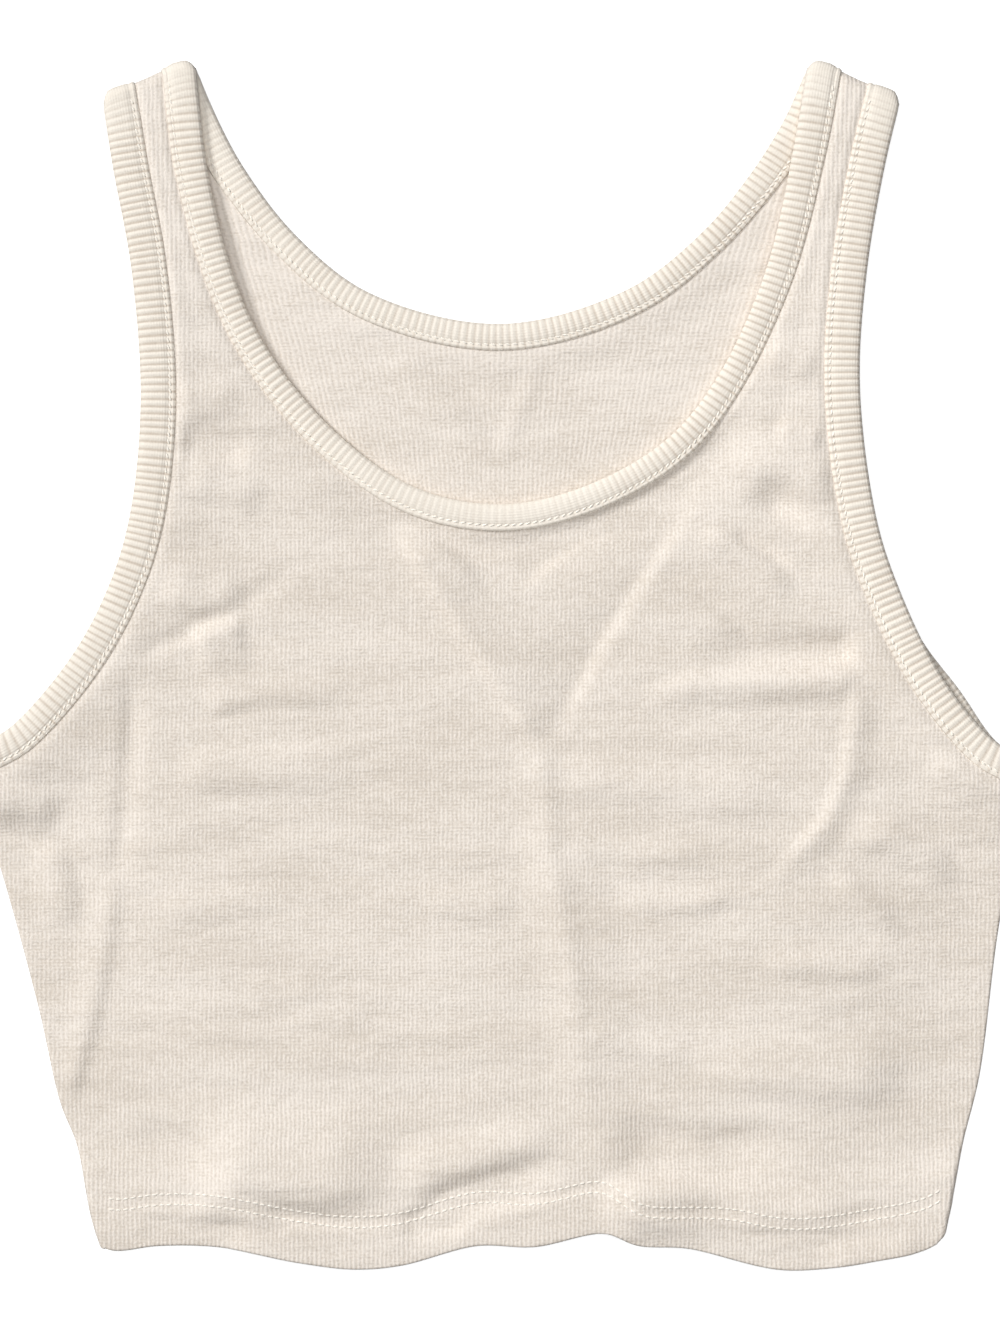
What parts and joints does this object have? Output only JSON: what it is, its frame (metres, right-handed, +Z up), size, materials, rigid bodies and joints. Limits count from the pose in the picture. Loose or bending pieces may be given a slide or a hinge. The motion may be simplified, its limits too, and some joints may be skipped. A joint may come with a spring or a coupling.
{
  "type": "tank top",
  "caption": "Cropped sleeveless knit tank top with scoop neck, rib bands on the neck and armholes and a sewn hem, laid flat on its back.",
  "frame": {"origin": "middle of the garment's footprint on the surface that it lies on", "axes": "+Z up, out of the surface; +Y towards the neck; +X towards the picture's right, which is the wearer's left"},
  "size_m": [0.4246, 0.4818, 0.0083],
  "materials": {
    "body_knit": "fine cream rib knit, matt",
    "band_rib": "cream raised rib, matt"
  },
  "bodies": {
    "root": {"front_panel": "body_knit", "back_panel": "body_knit", "neck_band": "band_rib", "armhole_band_left": "band_rib", "armhole_band_right": "band_rib"}
  },
  "joints": []
}
